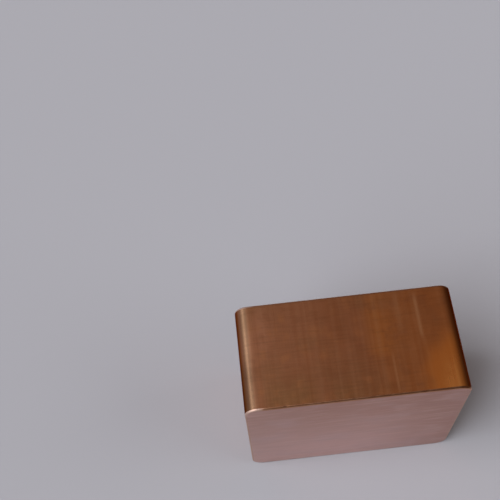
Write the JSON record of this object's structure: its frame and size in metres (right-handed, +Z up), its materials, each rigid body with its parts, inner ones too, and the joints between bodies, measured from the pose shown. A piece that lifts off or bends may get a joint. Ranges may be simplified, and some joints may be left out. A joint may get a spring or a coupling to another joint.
{
  "type": "copper ingot",
  "caption": "Solid copper block cut from rounded bar: a rectangular section with rounded corners, flat cut end faces and eased edges.",
  "frame": {"origin": "middle of the underside, on the surface that the block stands on", "axes": "+X along the width of the bar's section, +Y from the front face to the back face, along the bar, +Z up"},
  "size_m": [0.1, 0.05, 0.086],
  "materials": {
    "copper": "bare machined copper, satin, with faint lines along the bar and a light brown tarnish"
  },
  "bodies": {
    "root": {"ingot": "copper"}
  },
  "joints": []
}
